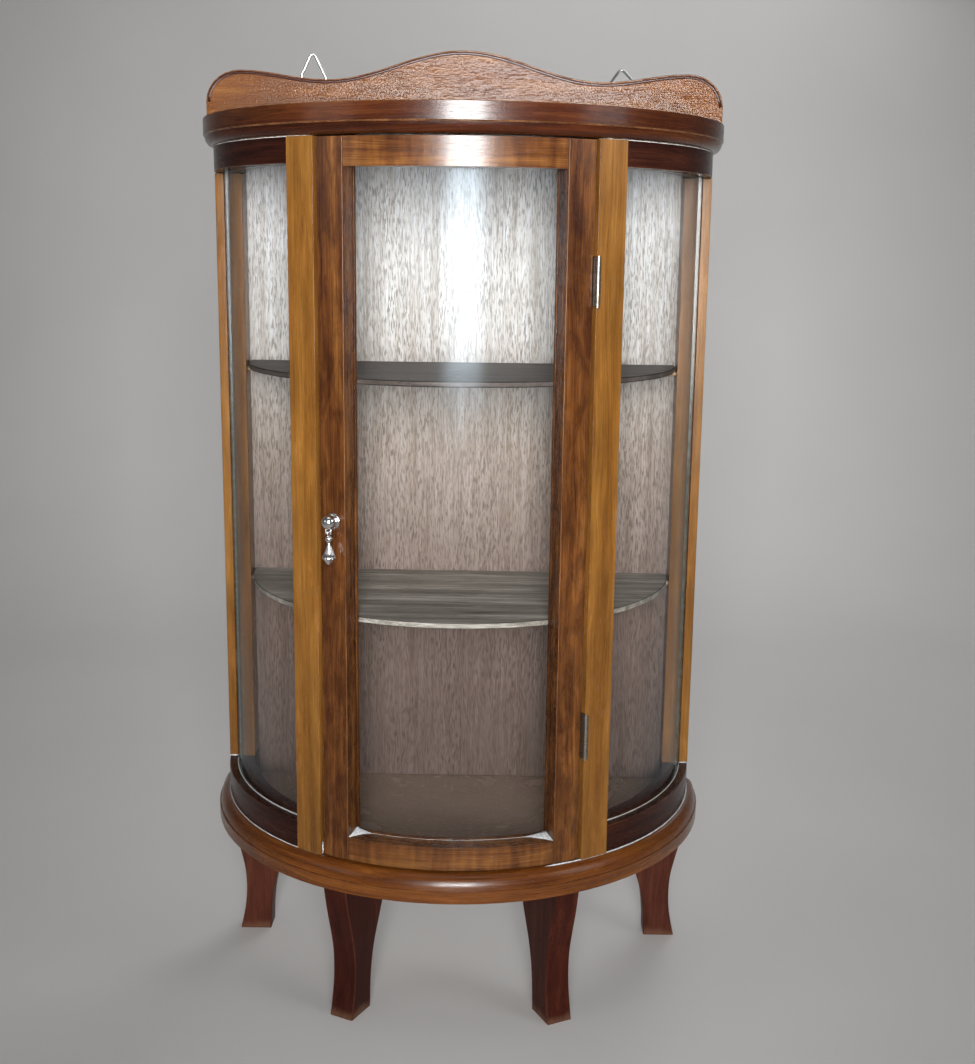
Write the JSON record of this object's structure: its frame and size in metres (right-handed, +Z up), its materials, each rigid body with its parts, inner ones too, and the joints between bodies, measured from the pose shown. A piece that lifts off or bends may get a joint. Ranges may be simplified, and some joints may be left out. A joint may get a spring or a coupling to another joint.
{
  "type": "curio cabinet",
  "caption": "Half-round tabletop curio cabinet in stained wood with bowed glass, a hinged glass door, shelves, sawn legs, a shaped crest board and rings for hanging.",
  "frame": {"origin": "on the surface the feet stand on, under the middle of the object's bounding box", "axes": "+Z up, +Y towards the flat back, +X towards the hinged side of the door"},
  "size_m": [0.3454, 0.1904, 0.62],
  "materials": {
    "case_wood": "red-brown stain under a satin varnish",
    "door_wood": "red-brown stain under a satin varnish",
    "post_wood": "golden brown stain under a satin varnish",
    "leg_wood": "dull red-brown stain",
    "shelf_wood": "thin brown plywood, unpolished",
    "panel_wood": "pale open-pored plywood, unpolished",
    "dowel_wood": "raw beech",
    "clear_glass": "clear bent sheet glass, faintly green at the edges",
    "pull_metal": "bright plated casting",
    "plated_steel": "nickel plated",
    "steel_wire": "zinc plated wire and strip",
    "dark_magnet": "dark magnet block"
  },
  "bodies": {
    "case": {"base_board": "case_wood", "cornice_board": "case_wood", "gallery": "case_wood", "back_panel": "panel_wood", "side_rail_bottom_left": "case_wood", "side_rail_bottom_right": "case_wood", "side_rail_top_left": "case_wood", "side_rail_top_right": "case_wood", "rear_post_left": "post_wood", "rear_post_right": "post_wood", "front_post_left": "post_wood", "front_post_right": "post_wood", "side_glass_left": "clear_glass", "side_glass_right": "clear_glass", "upper_shelf": "shelf_wood", "lower_shelf": "shelf_wood", "shelf_pin_upper_rear_left": "plated_steel", "shelf_pin_upper_rear_right": "plated_steel", "shelf_pin_upper_front_left": "plated_steel", "shelf_pin_upper_front_right": "plated_steel", "shelf_pin_lower_rear_left": "plated_steel", "shelf_pin_lower_rear_right": "plated_steel", "shelf_pin_lower_front_left": "plated_steel", "shelf_pin_lower_front_right": "plated_steel", "leg_front_left": "leg_wood", "leg_front_right": "leg_wood", "leg_rear_left": "leg_wood", "leg_rear_right": "leg_wood", "leg_dowel_front_left": "dowel_wood", "leg_dowel_front_right": "dowel_wood", "leg_dowel_rear_left": "dowel_wood", "leg_dowel_rear_right": "dowel_wood", "hinge_upper_post_leaf": "plated_steel", "hinge_lower_post_leaf": "plated_steel", "hinge_upper_pin": "plated_steel", "hinge_lower_pin": "plated_steel", "magnet_catch": "dark_magnet", "hanger_strap_left": "steel_wire", "hanger_strap_right": "steel_wire", "hanger_screw_left": "plated_steel", "hanger_screw_right": "plated_steel"},
    "door": {"door_stile_left": "door_wood", "door_stile_right": "door_wood", "door_rail_bottom": "door_wood", "door_rail_top": "door_wood", "door_glass": "clear_glass", "glass_bead_bottom": "door_wood", "glass_bead_top": "door_wood", "glass_bead_left": "door_wood", "glass_bead_right": "door_wood", "hinge_upper_door_leaf": "plated_steel", "hinge_lower_door_leaf": "plated_steel", "strike_plate": "plated_steel", "pull_rose": "pull_metal", "pull_nut": "pull_metal"},
    "drop": {"pull_drop": "pull_metal"},
    "left_ring": {"hanging_ring_left": "steel_wire"},
    "right_ring": {"hanging_ring_right": "steel_wire"}
  },
  "joints": [
    {"name": "door_hinge", "type": "hinge", "parent": "case", "child": "door", "pos_m": [0.08278, -0.0689, 0.3366], "axis": [0, 0, 1], "range_deg": [0, 170]},
    {"name": "drop_swing", "type": "hinge", "parent": "door", "child": "drop", "pos_m": [-0.07408, -0.07449, 0.3258], "axis": [-0.8988, 0.4384, 0], "range_deg": [0, 90]},
    {"name": "left_ring_fold", "type": "hinge", "parent": "case", "child": "left_ring", "pos_m": [-0.101, 0.07976, 0.5998], "axis": [-1, 0, 0], "range_deg": [-8, 175]},
    {"name": "right_ring_fold", "type": "hinge", "parent": "case", "child": "right_ring", "pos_m": [0.105, 0.07976, 0.5998], "axis": [-1, 0, 0], "range_deg": [-58, 125]}
  ]
}
